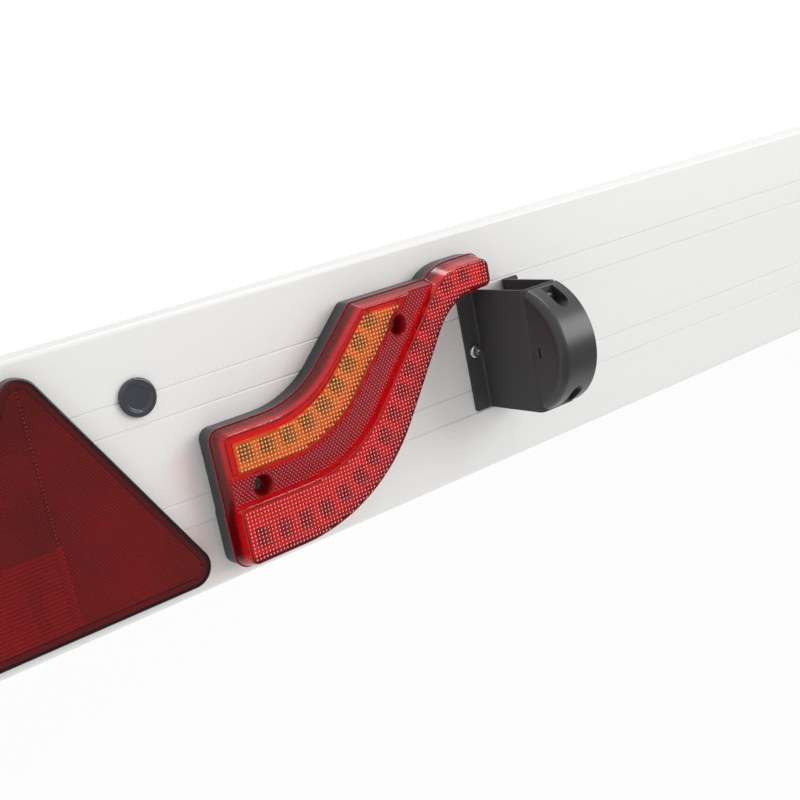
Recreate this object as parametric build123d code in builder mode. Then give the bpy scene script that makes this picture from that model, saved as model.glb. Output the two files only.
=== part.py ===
from build123d import *
import os
from math import atan, atan2, degrees, radians, tan

# Trailer lighting board: a hollow plastic board with a triangular reflector, an S-shaped rear lamp
# and a number-plate lamp on each half. Millimetres, +Z up, the lamps face -Y. The origin lies on the
# board's back face, midway between the two holes of its fixing bolts.

# Board extrusion
board_length = 1370.0
board_height = 140.0
board_depth = 20.0
board_edge_radius = 2.5
board_wall = 2.2
web_thickness = 1.6
inner_web = 11.6  # height of the inner pair of webs above and below the middle
outer_web = 45.6
inner_guide = 21.6  # height of the inner pair of drill guide lines above and below the middle
outer_guide = 35.6
guide_width = 1.4
guide_depth = 0.7

# End caps
cap_thickness = 2.0
cap_tongue = 10.0
cap_clearance = 0.25

# Places along the board, measured from its end, the same on both halves
reflector_from_end = 90.0
plug_from_end = 147.0
lamp_from_end = 172.4
plate_lamp_from_end = 371.2

# Fixing bolts and their access plugs
bolt_hole_radius = 4.25
access_radius = 8.0
plug_clearance = 0.15
plug_head_radius = 9.6
plug_head_height = 2.6
plug_edge_radius = 1.2
plug_dish_radius = 7.0
plug_dish_depth = 0.9
plug_wall = 1.4
plug_shank = 7.0
plug_snap = 0.5  # how far the snap ring stands out behind the front wall
plug_snap_height = 1.6

# Rubber grommets
feed_hole_radius = 8.0
feed_bore_radius = 4.0
lamp_hole_radius = 5.0
lamp_bore_radius = 2.5
grommet_flange = 2.5
grommet_flange_height = 1.8
grommet_clearance = 0.1
lamp_hole_along = 27.0  # from the lamp's outer edge
lamp_hole_height = -2.5

# Triangular reflector
reflector_side = 156.7
reflector_corner_radius = 10.3
reflector_depth = 7.3
reflector_rise = 6.6  # its lower edge above the board's lower edge
reflector_skirt = 1.4
reflector_front_wall = 2.4
reflector_edge_radius = 1.0
reflector_plate = 1.8
reflector_rib = 2.6
reflector_clearance = 0.1

# S-shaped lamp: levels above the board's front face
base_level = 10.0
raised_level = 22.0
indicator_level = 20.5
reflex_level = 18.0
lens_draft = 3.2  # how far the lens walls lean in between the base and the raised front
lens_wall = 2.5
lens_edge_radius = 1.0
seam_bead = 0.3  # how far the lens's foot stands out beyond the base
seam_bead_height = 0.9
base_wall = 2.2
base_ledge = 1.5
led_board_level = 6.5
led_board_thickness = 1.6
tray_level = 14.0
tray_wall = 1.2
tray_margin = 1.75  # room between the tray and the lens wall at the base
lamp_clearance = 0.3
window_clearance = 0.05

# Lamp outline on the raised front, along from the outer edge and up from the board's middle
raised_left = 3.2
foot_bottom = -58.9
foot_top = -29.5
foot_bottom_end = 84.0
foot_top_end = 74.9
arm_bottom = 38.8
arm_top = 53.6
arm_bottom_start = 155.4
arm_top_start = 153.3
arm_tip = 184.6
raised_corner_radius = 4.0
foot_bottom_sweep = 98.0
foot_top_sweep = 70.0
arm_bottom_sweep = 37.0
arm_top_sweep = 30.0

# Upper block of the lamp at the base, with the indicator and the reflex strip
block_left = 0.5
block_reach = 10.0  # how far the block runs on into the arm
block_shoulder = 10.6
block_top = 50.6
block_shoulder_end = 53.4
block_top_start = 96.4
block_sweep = 55.0
block_shoulder_radius = 6.0
block_corner_radius = 4.0

# Amber indicator window and the reflex strip below it
window_left = 7.4
window_bottom = -13.2
window_top = 3.5
window_bottom_end = 63.1
window_top_end = 54.9
window_end_height = 44.8
window_bottom_far = 123.0
window_top_far = 98.2
window_bottom_sweep = 70.0
window_top_sweep = 60.0
window_corner_radius = 1.0
window_border = 2.0  # smooth rim between the window and the reflex strip

# Screw wells of the lamp
well_places = [(20.3, -22.6), (119.3, 33.0)]
well_radius = 5.5
well_wall = 1.6
well_floor = 2.5
well_floor_level = 8.5

# LED cups
cup_taper = 8.0
indicator_cups = 9
indicator_cup_along = 7.0
indicator_cup_across = 8.0
tail_cups = 16
tail_cup_along = 7.0
tail_cup_across = 10.0
arm_cup_across = 6.0  # of the last tail cup, in the narrow arm
cup_wall = 1.0
indicator_cup_margin = 9.0  # from the end of the band to the middle of the first cup
tail_cup_margin = 13.0
tail_row_drop = 5.5  # of the tail LEDs below the middle of the lamp's foot
led_size = 3.5
led_height = 1.4

# Pan-head screws
screw_radius = 2.0
screw_head_radius = 4.0
screw_head_height = 2.6
screw_head_edge = 1.4
screw_reach = 6.0  # beyond the wall that it holds
screw_point = 2.0
small_screw_radius = 1.5
small_head_radius = 3.0
small_screw_reach = 5.0
screw_clearance = 0.15
recess_length = 4.2
recess_width = 1.0
recess_depth = 1.2

# Number-plate lamp: folded bracket and hood
sheet = 1.5
bend_radius = 1.5
bracket_width = 25.6
bracket_depth = 45.0
bracket_flange = 11.0
flange_corner_radius = 1.5
bracket_height = 69.8
wire_hole_radius = 4.0
hood_rise = 23.3  # how far the hood's arc stands out from the bracket
hood_margin = 0.5  # of the bracket above and below the hood
hood_wall = 2.0
hood_edge_radius = 5.0
pocket_width = 8.8
pocket_wall = 1.5
pocket_from_end = 7.4  # of the plate-lamp screws inside the hood's ends
pocket_floor = 2.2
slot_width = 1.5
slot_height = 6.3
slot_from_bracket = 5.4
plate_lens_thickness = 2.0
plate_lens_clearance = 0.15
plate_board_width = 7.0
plate_board_height = 26.0
plate_board_from_bracket = 11.0
plate_led_spacing = 16.0

# Worked-out places
middle_z = -outer_guide  # the board's middle below the fixing bolts
front_y = -board_depth
left_end = -board_length / 2
profile_half = board_length / 2 - cap_thickness
plug_x = left_end + plug_from_end
lamp_x = left_end + lamp_from_end
plate_lamp_x = left_end + plate_lamp_from_end
reflector_x = left_end + reflector_from_end
lens_height = raised_level - base_level
draft_angle = degrees(atan(lens_draft / lens_height))
led_level = led_board_level + led_board_thickness
tower_bottom = well_floor_level - well_floor
tower_radius = well_radius + well_wall
bracket_front = front_y - bracket_depth
flange_screw = (bracket_width + bracket_flange) / 2
hood_half = bracket_height / 2 - hood_margin
hood_radius = (hood_half**2 + hood_rise**2) / (2 * hood_rise)
hood_centre = hood_radius - hood_rise  # behind the bracket's front
pocket_along = hood_edge_radius / 2  # the pockets are midway along the rim's flat part
pocket_height = hood_half - pocket_from_end
pocket_places = [(pocket_along, -pocket_height), (pocket_along, pocket_height)]

os.makedirs("parts", exist_ok=True)


def front_plane(level=0.0, x=0.0):
    """Plane at a level above the board's front: x along the board, y up from its middle."""
    return Plane(origin=(x, front_y - level, middle_z), x_dir=(1, 0, 0), z_dir=(0, -1, 0))


def write(piece, name):
    """Labels a finished piece and writes it."""
    piece.part.label = name
    export_step(piece.part, f"parts/{name}.step")


def write_pair(piece, name):
    """Writes a piece of the left half and its mirror image on the right half."""
    write(piece, f"left_{name}")
    with BuildPart() as opposite:
        mirror(piece.part, about=Plane.YZ)
    write(opposite, f"right_{name}")


def rounded_outline(corners, radii):
    """Adds the face inside a closed outline with a radius at each corner."""
    with BuildLine() as outline:
        FilletPolyline(*corners, radius=radii, close=True)
    make_face(outline.edges())


def turned(plane, corners):
    """Adds a solid turned about the plane's y axis from a half section."""
    with BuildSketch(plane) as half_section:
        with BuildLine():
            Polyline(*corners, close=True)
        make_face()
    revolve(half_section.sketch, axis=Axis(plane.origin, plane.y_dir))


def pan_screw(x, z, seat_y, length, radius=screw_radius, head_radius=screw_head_radius):
    """Adds a cross-recess pan-head screw along Y, with its head in front of its seat."""
    axis_plane = Plane(origin=(x, seat_y, z), x_dir=(1, 0, 0), z_dir=(0, 0, 1))
    with BuildSketch(axis_plane) as half_section:
        with BuildLine():
            FilletPolyline(
                (0, -screw_head_height),
                (head_radius, -screw_head_height),
                (head_radius, 0),
                radius=screw_head_edge,
            )
            Polyline(
                (head_radius, 0),
                (radius, 0),
                (radius, length - screw_point),
                (0, length),
                (0, -screw_head_height),
            )
        make_face()
    revolve(half_section.sketch, axis=Axis(axis_plane.origin, axis_plane.y_dir))
    head = Plane(origin=(x, seat_y - screw_head_height, z), x_dir=(1, 0, 0), z_dir=(0, -1, 0))
    with BuildSketch(head) as recess:
        Rectangle(recess_length, recess_width)
        Rectangle(recess_width, recess_length)
    extrude(recess.sketch, amount=-recess_depth, mode=Mode.SUBTRACT)


def grommet(hole_plane, hole_radius, bore_radius, grip):
    """Adds a turned rubber grommet that grips a wall of the given thickness below the plane."""
    body = hole_radius - grommet_clearance
    flange = hole_radius + grommet_flange
    low = -grip - grommet_clearance
    axis_plane = Plane(hole_plane.origin, x_dir=hole_plane.x_dir, z_dir=-hole_plane.y_dir)
    turned(
        axis_plane,
        [
            (bore_radius, low - grommet_flange_height),
            (flange, low - grommet_flange_height),
            (flange, low),
            (body, low),
            (body, 0),
            (flange, 0),
            (flange, grommet_flange_height),
            (bore_radius, grommet_flange_height),
        ],
    )


# Board: closed hollow section with webs, guide lines and the holes of what it carries
web_heights = [-outer_web, -inner_web, inner_web, outer_web]
web_faces = [-board_height / 2 + board_wall - web_thickness / 2]
web_faces += web_heights
web_faces += [board_height / 2 - board_wall + web_thickness / 2]
chambers = []
for lower, upper in zip(web_faces, web_faces[1:]):
    chambers.append(((lower + upper) / 2, upper - lower - web_thickness))
chamber_depth = board_depth - 2 * board_wall

section_plane = Plane(
    origin=(0, -board_depth / 2, middle_z), x_dir=(0, 1, 0), z_dir=(1, 0, 0)
)
with BuildPart() as board:
    with BuildSketch(section_plane):
        RectangleRounded(board_depth, board_height, board_edge_radius)
        for height, tall in chambers:
            with Locations((0, height)):
                Rectangle(chamber_depth, tall, mode=Mode.SUBTRACT)
        for height in (-outer_guide, -inner_guide, inner_guide, outer_guide):
            with BuildLine():
                Polyline(
                    (-board_depth / 2, height - guide_width / 2),
                    (-board_depth / 2 + guide_depth, height),
                    (-board_depth / 2, height + guide_width / 2),
                    close=True,
                )
            make_face(mode=Mode.SUBTRACT)
    extrude(amount=profile_half, both=True)
    for side in (-1, 1):
        with BuildSketch(front_plane()):
            with Locations((side * plug_x, outer_guide)):
                Circle(access_radius)
            with Locations((side * (lamp_x + lamp_hole_along), lamp_hole_height)):
                Circle(lamp_hole_radius)
            for along, height in well_places:
                with Locations((side * (lamp_x + along), height)):
                    Circle(screw_radius + screw_clearance)
            for flange_side in (-1, 1):
                with Locations((side * plate_lamp_x + flange_side * flange_screw, 0)):
                    Circle(screw_radius + screw_clearance)
            with Locations((side * plate_lamp_x, 0)):
                Circle(wire_hole_radius)
        extrude(amount=-board_depth / 2, mode=Mode.SUBTRACT)
        with BuildSketch(front_plane(-board_depth)):
            with Locations((side * plug_x, outer_guide)):
                Circle(bolt_hole_radius)
        extrude(amount=board_depth / 2, mode=Mode.SUBTRACT)
    with BuildSketch(front_plane(-board_depth)):
        Circle(feed_hole_radius)
    extrude(amount=board_depth / 2, mode=Mode.SUBTRACT)
write(board, "board_profile")

# End caps: a plate the size of the section, with tongues that push into the wide chambers
with BuildPart() as end_cap:
    cap_plane = Plane(
        origin=(-profile_half, -board_depth / 2, middle_z), x_dir=(0, 1, 0), z_dir=(1, 0, 0)
    )
    with BuildSketch(cap_plane):
        RectangleRounded(board_depth, board_height, board_edge_radius)
    extrude(amount=-cap_thickness)
    with BuildSketch(cap_plane):
        for height, tall in chambers:
            with Locations((0, height)):
                Rectangle(chamber_depth - 2 * cap_clearance, tall - 2 * cap_clearance)
                inner_depth = chamber_depth - 2 * (cap_clearance + cap_thickness)
                inner_tall = tall - 2 * (cap_clearance + cap_thickness)
                Rectangle(inner_depth, inner_tall, mode=Mode.SUBTRACT)
    extrude(amount=cap_tongue)
write_pair(end_cap, "end_cap")

with BuildPart() as feed_grommet:
    back = Plane(origin=(0, 0, middle_z), x_dir=(1, 0, 0), z_dir=(0, 1, 0))
    grommet(back, feed_hole_radius, feed_bore_radius, board_wall)
write(feed_grommet, "feed_grommet")

# Triangular reflector: red shell over a black back plate
inradius = reflector_side / 12**0.5
reflector_middle = reflector_rise + inradius - board_height / 2


def triangle(level, inset):
    """Gives a rounded triangle, point up, set in from the reflector's outline."""
    with BuildSketch(front_plane(level, reflector_x)) as face:
        with Locations((0, reflector_middle)):
            RegularPolygon(2 * (inradius - reflector_corner_radius), 3, rotation=90)
        offset(amount=reflector_corner_radius - inset)
    return face.sketch


with BuildPart() as reflector_lens:
    extrude(triangle(0, 0), amount=reflector_depth)
    fillet(reflector_lens.faces().sort_by(Axis.Y)[0].edges(), reflector_edge_radius)
    hollow_depth = reflector_depth - reflector_front_wall
    extrude(triangle(0, reflector_skirt), amount=hollow_depth, mode=Mode.SUBTRACT)
write_pair(reflector_lens, "reflector_lens")

with BuildPart() as reflector_base:
    rib_outside = reflector_skirt + reflector_clearance
    extrude(triangle(0, rib_outside), amount=hollow_depth - reflector_clearance)
    extrude(
        triangle(reflector_plate, rib_outside + reflector_rib),
        amount=reflector_depth,
        mode=Mode.SUBTRACT,
    )
write_pair(reflector_base, "reflector_base")

# Plug over the access hole of the fixing bolt: dished head, hollow shank, snap ring
with BuildPart() as fixing_plug:
    plug_plane = Plane(
        origin=(plug_x, front_y, middle_z + outer_guide), x_dir=(1, 0, 0), z_dir=(0, 0, 1)
    )
    shank_radius = access_radius - plug_clearance
    snap_start = board_wall + plug_clearance
    with BuildSketch(plug_plane):
        with BuildLine():
            FilletPolyline(
                (0, plug_dish_depth - plug_head_height),
                (plug_dish_radius - plug_dish_depth, plug_dish_depth - plug_head_height),
                (plug_dish_radius, -plug_head_height),
                (plug_head_radius, -plug_head_height),
                (plug_head_radius, 0),
                radius=[plug_edge_radius, plug_edge_radius / 2, plug_edge_radius],
            )
            Polyline(
                (plug_head_radius, 0),
                (shank_radius, 0),
                (shank_radius, snap_start),
                (shank_radius + plug_snap, snap_start + plug_snap),
                (shank_radius, snap_start + plug_snap_height),
                (shank_radius, plug_shank),
                (shank_radius - plug_wall, plug_shank),
                (shank_radius - plug_wall, plug_wall),
                (0, plug_wall),
                (0, plug_dish_depth - plug_head_height),
            )
        make_face()
    revolve(axis=Axis(plug_plane.origin, plug_plane.y_dir))
write_pair(fixing_plug, "fixing_plug")

# S-shaped lamp: outlines shared by its base, lens, tray and circuit board
raised_corners = [
    (raised_left, foot_bottom),
    (foot_bottom_end, foot_bottom),
    (arm_bottom_start, arm_bottom),
    (arm_tip, arm_bottom),
    (arm_tip, arm_top),
    (arm_top_start, arm_top),
    (foot_top_end, foot_top),
    (raised_left, foot_top),
]
raised_radii = [
    raised_corner_radius,
    foot_bottom_sweep,
    arm_bottom_sweep,
    raised_corner_radius,
    raised_corner_radius,
    arm_top_sweep,
    foot_top_sweep,
    raised_corner_radius,
]
foot_middle = (foot_bottom + foot_top) / 2
arm_middle = (arm_bottom + arm_top) / 2
band_bend = ((foot_bottom_end + foot_top_end) / 2, foot_middle)
band_rise = ((arm_bottom_start + arm_top_start) / 2, arm_middle)
block_corners = [
    (block_left, foot_middle),
    band_bend,
    (band_rise[0] + block_reach, block_top),
    (block_top_start, block_top),
    (block_shoulder_end, block_shoulder),
    (block_left, block_shoulder),
]
block_radii = [0, 0, 0, block_corner_radius, block_sweep, block_shoulder_radius]
window_corners = [
    (window_left, window_bottom),
    (window_bottom_end, window_bottom),
    (window_bottom_far, window_end_height),
    (window_top_far, window_end_height),
    (window_top_end, window_top),
    (window_left, window_top),
]
window_radii = [
    window_corner_radius,
    window_bottom_sweep,
    window_corner_radius,
    window_corner_radius,
    window_top_sweep,
    window_corner_radius,
]


def band_face(level, inset=0.0):
    """Gives the S-shaped band at the base, set in from its outline."""
    with BuildSketch(front_plane(level, lamp_x)) as face:
        rounded_outline(raised_corners, raised_radii)
        offset(amount=lens_draft - inset)
    return face.sketch


def block_face(level, inset=0.0):
    """Gives the upper block at the base, set in from its outline."""
    with BuildSketch(front_plane(level, lamp_x)) as face:
        rounded_outline(block_corners, block_radii)
        if inset:
            offset(amount=-inset)
    return face.sketch


def lamp_face(level, inset=0.0):
    """Gives the whole lamp outline at the base, set in by one distance."""
    with BuildSketch(front_plane(level, lamp_x)) as face:
        rounded_outline(raised_corners, raised_radii)
        offset(amount=lens_draft)
        rounded_outline(block_corners, block_radii)
        if inset:
            offset(amount=-inset)
    return face.sketch


def window_face(level, outset=0.0):
    """Gives the amber window's outline, grown by a distance and clear of the screw wells."""
    with BuildSketch(front_plane(level, lamp_x)) as face:
        rounded_outline(window_corners, window_radii)
        with Locations(*well_places):
            Circle(well_radius + window_border, mode=Mode.SUBTRACT)
        if outset:
            offset(amount=outset)
    return face.sketch


def well_circles(level, radius):
    """Gives a circle at each screw well."""
    with BuildSketch(front_plane(level, lamp_x)) as face:
        with Locations(*well_places):
            Circle(radius)
    return face.sketch


def upper_strip(outset):
    """Adds the part of the block that keeps the window's level, open to the left and the top."""
    reach = block_top + lens_draft + outset
    run = (window_bottom_far - window_bottom_end) / (window_end_height - window_bottom)
    corners = [
        (-reach, window_bottom),
        (window_bottom_end, window_bottom),
        (window_bottom_end + run * (reach - window_bottom), reach),
        (-reach, reach),
    ]
    rounded_outline(corners, [0, window_bottom_sweep, 0, 0])
    offset(amount=outset, kind=Kind.INTERSECTION)


def drafted_block(inset):
    """Adds the drafted upper block at the window's level."""
    height = indicator_level - base_level - inset
    extrude(block_face(base_level, inset), amount=height, taper=draft_angle)


def reflex_cut(inset, border):
    """Cuts the block down to the reflex strip, outside the window's border."""
    with BuildSketch(front_plane(reflex_level - inset, lamp_x)) as strip:
        Rectangle(4 * arm_tip, 4 * arm_tip)
        with BuildSketch(mode=Mode.SUBTRACT):
            upper_strip(border)
    extrude(strip.sketch, amount=raised_level, mode=Mode.SUBTRACT)


# Base of the lamp: black tray with a ledge for the circuit board and a boss under each well
with BuildPart() as lamp_base:
    extrude(lamp_face(0), amount=base_level)
    extrude(lamp_face(led_board_level, base_wall), amount=base_level, mode=Mode.SUBTRACT)
    extrude(lamp_face(base_wall, base_wall + base_ledge), amount=base_level, mode=Mode.SUBTRACT)
    extrude(well_circles(0, tower_radius), amount=tower_bottom)
    extrude(well_circles(0, screw_radius + screw_clearance), amount=base_level, mode=Mode.SUBTRACT)
    with BuildSketch(front_plane(0, lamp_x)):
        with Locations((lamp_hole_along, lamp_hole_height)):
            Circle(lamp_hole_radius)
    extrude(amount=base_level, mode=Mode.SUBTRACT)
write_pair(lamp_base, "lamp_base")

with BuildPart() as lamp_grommet:
    floor = Plane(
        origin=(lamp_x + lamp_hole_along, front_y - base_wall, middle_z + lamp_hole_height),
        x_dir=(1, 0, 0),
        z_dir=(0, -1, 0),
    )
    grommet(floor, lamp_hole_radius, lamp_bore_radius, base_wall + board_wall)
write_pair(lamp_grommet, "lamp_grommet")

# Red lens: raised S-shaped band beside a lower block, hollow behind, with two screw towers
with BuildPart() as lens_hollow:
    drafted_block(lens_wall)
    reflex_cut(lens_wall, window_border - lens_wall)
    extrude(band_face(base_level, lens_wall), amount=lens_height - lens_wall, taper=draft_angle)

with BuildPart() as lamp_lens:
    drafted_block(0)
    fillet(lamp_lens.faces().sort_by(Axis.Y)[0].edges(), lens_edge_radius)
    reflex_cut(0, window_border)
    extrude(band_face(base_level), amount=lens_height, taper=draft_angle)
    fillet(lamp_lens.faces().sort_by(Axis.Y)[0].edges(), lens_edge_radius)
    extrude(lamp_face(base_level, -seam_bead), amount=seam_bead_height)
    add(lens_hollow.part, mode=Mode.SUBTRACT)
    extrude(window_face(indicator_level - lens_wall), amount=raised_level, mode=Mode.SUBTRACT)
    extrude(well_circles(tower_bottom, tower_radius), amount=reflex_level - lens_wall / 2 - tower_bottom)
    extrude(well_circles(well_floor_level, well_radius), amount=raised_level, mode=Mode.SUBTRACT)
    extrude(
        well_circles(tower_bottom, screw_radius + screw_clearance),
        amount=raised_level,
        mode=Mode.SUBTRACT,
    )
write_pair(lamp_lens, "lamp_lens")

with BuildPart() as indicator_lens:
    extrude(window_face(indicator_level - lens_wall, -window_clearance), amount=lens_wall)
write_pair(indicator_lens, "indicator_lens")

# Circuit board on the ledge of the base, and the LEDs along the middle of each band
with BuildPart() as led_board:
    extrude(lamp_face(led_board_level, base_wall + lamp_clearance), amount=led_board_thickness)
    extrude(
        well_circles(led_board_level, tower_radius + lamp_clearance),
        amount=led_board_thickness,
        mode=Mode.SUBTRACT,
    )
write_pair(led_board, "led_board")

with BuildLine() as indicator_path:
    FilletPolyline(
        (window_left, (window_bottom + window_top) / 2),
        ((window_bottom_end + window_top_end) / 2, (window_bottom + window_top) / 2),
        ((window_bottom_far + window_top_far) / 2, window_end_height),
        radius=(window_bottom_sweep + window_top_sweep) / 2,
    )
with BuildLine() as tail_path:
    FilletPolyline(
        (raised_left, foot_middle - tail_row_drop),
        (band_bend[0], foot_middle - tail_row_drop),
        band_rise,
        (arm_tip, arm_middle),
        radius=[(foot_bottom_sweep + foot_top_sweep) / 2, (arm_bottom_sweep + arm_top_sweep) / 2],
    )


def places_along(path, count, end_margin):
    """Gives evenly spaced places along a band, each turned to the band's direction."""
    band = path.wire()
    first = end_margin / band.length
    step = (1 - 2 * first) / (count - 1)
    places = []
    for index in range(count):
        share = first + index * step
        point = band @ share
        ahead = band % share
        places.append(Location((point.X, point.Y), degrees(atan2(ahead.Y, ahead.X))))
    return places


indicator_places = places_along(indicator_path, indicator_cups, indicator_cup_margin)
tail_places = places_along(tail_path, tail_cups, tail_cup_margin)
cups = []
for place in indicator_places:
    cups.append((place, indicator_cup_along, indicator_cup_across))
for index, place in enumerate(tail_places):
    narrowing = index / (tail_cups - 1) * (tail_cup_across - arm_cup_across)
    cups.append((place, tail_cup_along, tail_cup_across - narrowing))

for row_name, places in (("indicator_leds", indicator_places), ("tail_leds", tail_places)):
    with BuildPart() as led_row:
        with BuildSketch(front_plane(led_level, lamp_x)):
            with Locations(*places):
                Rectangle(led_size, led_size)
        extrude(amount=led_height)
    write_pair(led_row, row_name)

# Bright tray over the circuit board: a plate with one flared cup for each LED
cup_depth = tray_level - led_level
cup_flare = 2 * cup_depth * tan(radians(cup_taper))
tray_inset = lens_wall + tray_margin


def cup_faces(growth):
    """Gives the outline of every LED cup at the tray's front, grown by one size."""
    with BuildSketch(front_plane(tray_level, lamp_x)) as faces:
        for place, along, across in cups:
            with Locations(place):
                Rectangle(along + growth, across + growth)
    return faces.sketch


with BuildPart() as lamp_reflector:
    extrude(lamp_face(tray_level, tray_inset), amount=-tray_wall)
    extrude(cup_faces(cup_flare + 2 * cup_wall), amount=-cup_depth)
    extrude(lamp_face(tray_level, tray_inset), amount=-cup_depth, mode=Mode.INTERSECT)
    extrude(cup_faces(cup_flare), amount=-cup_depth, taper=cup_taper, mode=Mode.SUBTRACT)
    extrude(
        well_circles(led_level, tower_radius + lamp_clearance),
        amount=raised_level,
        mode=Mode.SUBTRACT,
    )
write_pair(lamp_reflector, "lamp_reflector")

with BuildPart() as lamp_screws:
    lamp_screw_length = well_floor_level + board_wall + screw_reach
    for along, height in well_places:
        pan_screw(lamp_x + along, middle_z + height, front_y - well_floor_level, lamp_screw_length)
write_pair(lamp_screws, "lamp_screws")

# Number-plate lamp: bracket folded from sheet, with a flange on each side
with BuildPart() as bracket:
    fold_plane = Plane(
        origin=(plate_lamp_x, front_y, middle_z + bracket_height / 2),
        x_dir=(1, 0, 0),
        z_dir=(0, 0, 1),
    )
    half = bracket_width / 2
    inside = half - sheet
    with BuildLine(fold_plane):
        FilletPolyline(
            (-half - bracket_flange, 0),
            (-inside, 0),
            (-inside, sheet - bracket_depth),
            (inside, sheet - bracket_depth),
            (inside, 0),
            (half + bracket_flange, 0),
            radius=[bend_radius + sheet, bend_radius, bend_radius, bend_radius + sheet],
        )
    make_brake_formed(sheet, bracket_height, side=Side.RIGHT)
    ends = bracket.edges().filter_by(Axis.Y).group_by(Axis.X)
    fillet(ends[0] + ends[-1], flange_corner_radius)
    with BuildSketch(front_plane(0, plate_lamp_x)):
        with Locations((-flange_screw, 0), (flange_screw, 0)):
            Circle(screw_radius + screw_clearance)
    extrude(amount=2 * sheet, mode=Mode.SUBTRACT)
    with BuildSketch(front_plane(bracket_depth, plate_lamp_x)):
        Circle(wire_hole_radius)
        with Locations(*pocket_places):
            Circle(small_screw_radius + screw_clearance)
    extrude(amount=-2 * sheet, mode=Mode.SUBTRACT)
write_pair(bracket, "plate_lamp_bracket")

with BuildPart() as bracket_screws:
    flange_screw_length = sheet + board_wall + screw_reach
    for flange_side in (-1, 1):
        screw_x = plate_lamp_x + flange_side * flange_screw
        pan_screw(screw_x, middle_z, front_y - sheet, flange_screw_length)
write_pair(bracket_screws, "bracket_screws")


def hood_form(inset, width):
    """Adds the hood's D-shaped form with a rounded outer rim, set in by a wall."""
    hood_plane = Plane(
        origin=(plate_lamp_x - bracket_width / 2 + inset, bracket_front, middle_z),
        x_dir=(0, 1, 0),
        z_dir=(1, 0, 0),
    )
    with BuildSketch(hood_plane) as section:
        hood_section(inset)
    extrude(section.sketch, amount=width)
    rim = edges(Select.LAST).filter_by(GeomType.CIRCLE).sort_by(Axis.X)[0]
    fillet(rim, hood_edge_radius - inset)


def hood_section(inset):
    """Adds the D-shaped section of the hood: an arc in front of the bracket."""
    with Locations((hood_centre, 0)):
        Circle(hood_radius - inset)
    with Locations((hood_radius - inset, 0)):
        Rectangle(2 * hood_radius, 2 * hood_radius, mode=Mode.SUBTRACT)


def pocket_faces(level, grown):
    """Gives the two screw pockets' outlines, open towards the hood's rim."""
    with BuildSketch(front_plane(level, plate_lamp_x)) as faces:
        for way in (-1, 1):
            with Locations((pocket_along, way * pocket_height)):
                Circle(pocket_width / 2 + grown)
            with Locations((pocket_along, way * (pocket_height + hood_radius / 2))):
                Rectangle(pocket_width + 2 * grown, hood_radius)
    return faces.sketch


with BuildPart() as hood_hollow:
    hood_form(hood_wall, bracket_width)

with BuildPart() as pocket_blocks:
    hood_form(0, bracket_width)
    extrude(pocket_faces(bracket_depth, pocket_wall), amount=hood_radius, mode=Mode.INTERSECT)

with BuildPart() as hood:
    hood_form(0, bracket_width)
    add(hood_hollow.part, mode=Mode.SUBTRACT)
    add(pocket_blocks.part)
    extrude(pocket_faces(bracket_depth + pocket_floor, 0), amount=hood_radius, mode=Mode.SUBTRACT)
    with BuildSketch(front_plane(bracket_depth, plate_lamp_x)):
        Circle(wire_hole_radius)
        with Locations(*pocket_places):
            Circle(small_screw_radius + screw_clearance)
    extrude(amount=pocket_floor, mode=Mode.SUBTRACT)
    slot_plane = Plane(
        origin=(plate_lamp_x - bracket_width / 2, bracket_front, middle_z),
        x_dir=(0, 1, 0),
        z_dir=(1, 0, 0),
    )
    with BuildSketch(slot_plane):
        with Locations((-slot_from_bracket, 0)):
            Rectangle(slot_width, slot_height)
    extrude(amount=hood_wall, mode=Mode.SUBTRACT)
write_pair(hood, "plate_lamp_hood")

# Clear window of the plate lamp on its inner side, towards the number plate
with BuildPart() as plate_lens:
    lens_plane = Plane(
        origin=(plate_lamp_x + bracket_width / 2, bracket_front, middle_z),
        x_dir=(0, 1, 0),
        z_dir=(1, 0, 0),
    )
    with BuildSketch(lens_plane):
        hood_section(hood_wall + plate_lens_clearance)
    extrude(amount=-plate_lens_thickness)
write_pair(plate_lens, "plate_lamp_lens")

with BuildPart() as plate_board:
    with BuildSketch(slot_plane.offset(hood_wall)):
        with Locations((-plate_board_from_bracket, 0)):
            Rectangle(plate_board_width, plate_board_height)
    extrude(amount=led_board_thickness)
write_pair(plate_board, "plate_lamp_board")

with BuildPart() as plate_leds:
    with BuildSketch(slot_plane.offset(hood_wall + led_board_thickness)):
        with Locations((-plate_board_from_bracket, 0)):
            with GridLocations(0, plate_led_spacing, 1, 2):
                Rectangle(led_size, led_size)
    extrude(amount=led_height)
write_pair(plate_leds, "plate_lamp_leds")

with BuildPart() as plate_screws:
    plate_screw_length = pocket_floor + sheet + small_screw_reach
    for along, height in pocket_places:
        pan_screw(
            plate_lamp_x + along,
            middle_z + height,
            bracket_front - pocket_floor,
            plate_screw_length,
            small_screw_radius,
            small_head_radius,
        )
write_pair(plate_screws, "plate_lamp_screws")
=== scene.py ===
import math

import bmesh
import bpy
from bpy.props import FloatProperty, FloatVectorProperty, PointerProperty, StringProperty
from mathutils import Matrix, Vector


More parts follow.
